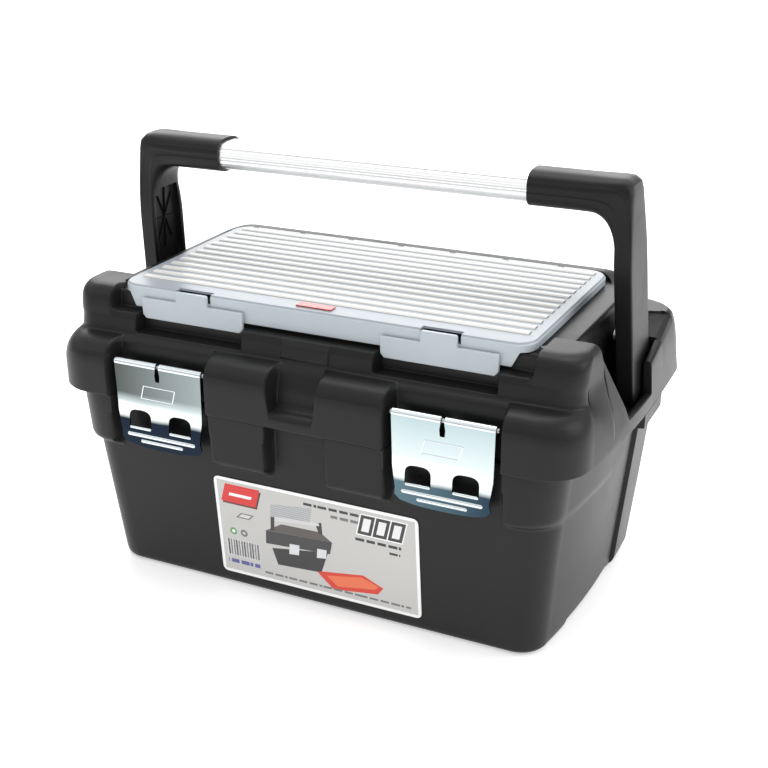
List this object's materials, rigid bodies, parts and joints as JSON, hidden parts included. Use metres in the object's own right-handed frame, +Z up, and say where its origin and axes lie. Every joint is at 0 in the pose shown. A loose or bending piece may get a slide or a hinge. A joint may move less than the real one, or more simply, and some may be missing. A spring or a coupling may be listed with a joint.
{
  "type": "toolbox with tray",
  "caption": "Plastic toolbox with a hinged lid, a clear-covered organiser in the lid, a lift-out tray, two metal latches and a folding tube handle.",
  "frame": {"origin": "centre of the overall box at the bottom, on the surface the toolbox stands on", "axes": "+X along the length, -Y towards the latches at the front, +Z up"},
  "size_m": [0.45, 0.285, 0.3354],
  "materials": {
    "black_plastic": "satin moulded polypropylene with a fine grain",
    "grip_plastic": "satin moulded plastic",
    "milky_plastic": "translucent, slightly frosted",
    "tray_orange": "satin moulded plastic",
    "zinc_plate": "bright zinc-plated sheet steel",
    "steel_pin": "plain steel rod",
    "satin_aluminium": "satin anodised",
    "label_paper": "glossy printed film",
    "badge_red": "glossy"
  },
  "bodies": {
    "body": {"body_tub": "black_plastic", "front_label": "label_paper", "lid_hinge_pin_left": "steel_pin", "lid_hinge_pin_right": "steel_pin"},
    "lid": {"lid_shell": "black_plastic", "divider_long": "milky_plastic", "divider_front_1": "milky_plastic", "divider_front_2": "milky_plastic", "divider_front_3": "milky_plastic", "divider_front_4": "milky_plastic", "divider_rear_1": "milky_plastic", "divider_rear_2": "milky_plastic", "divider_rear_3": "milky_plastic", "latch_pin_left": "steel_pin", "latch_pin_right": "steel_pin", "handle_pin_left": "steel_pin", "handle_pin_right": "steel_pin", "cover_hinge_rod": "steel_pin"},
    "cover": {"organiser_cover": "milky_plastic", "cover_badge": "badge_red"},
    "clip_left": {"cover_clip_left": "milky_plastic"},
    "clip_right": {"cover_clip_right": "milky_plastic"},
    "latch_left": {"latch_left": "zinc_plate"},
    "latch_right": {"latch_right": "zinc_plate"},
    "handle": {"handle_arm_left": "grip_plastic", "handle_arm_right": "grip_plastic", "handle_tube": "satin_aluminium"},
    "tray": {"tool_tray": "tray_orange"}
  },
  "joints": [
    {"name": "lid_hinge", "type": "hinge", "parent": "body", "child": "lid", "pos_m": [0, 0.1363, 0.158], "axis": [-1, 0, 0], "range_deg": [0, 100]},
    {"name": "cover_hinge", "type": "hinge", "parent": "lid", "child": "cover", "pos_m": [0, 0.0755, 0.2336], "axis": [-1, 0, 0], "range_deg": [0, 30]},
    {"name": "clip_left_hinge", "type": "hinge", "parent": "cover", "child": "clip_left", "pos_m": [-0.102, -0.108, 0.23], "axis": [-1, 0, 0], "range_deg": [0, 35]},
    {"name": "clip_right_hinge", "type": "hinge", "parent": "cover", "child": "clip_right", "pos_m": [0.102, -0.108, 0.23], "axis": [-1, 0, 0], "range_deg": [0, 35]},
    {"name": "latch_left_hinge", "type": "hinge", "parent": "lid", "child": "latch_left", "pos_m": [-0.1178, -0.1344, 0.1863], "axis": [-1, 0, 0], "range_deg": [0, 100]},
    {"name": "latch_right_hinge", "type": "hinge", "parent": "lid", "child": "latch_right", "pos_m": [0.1178, -0.1344, 0.1863], "axis": [-1, 0, 0], "range_deg": [0, 100]},
    {"name": "handle_swing", "type": "hinge", "parent": "lid", "child": "handle", "pos_m": [0, 0.00945, 0.212], "axis": [-1, 0, 0], "range_deg": [0, 64]},
    {"name": "tray_lift", "type": "slide", "parent": "body", "child": "tray", "axis": [0, 0, 1], "range_m": [0, 0.018]}
  ]
}
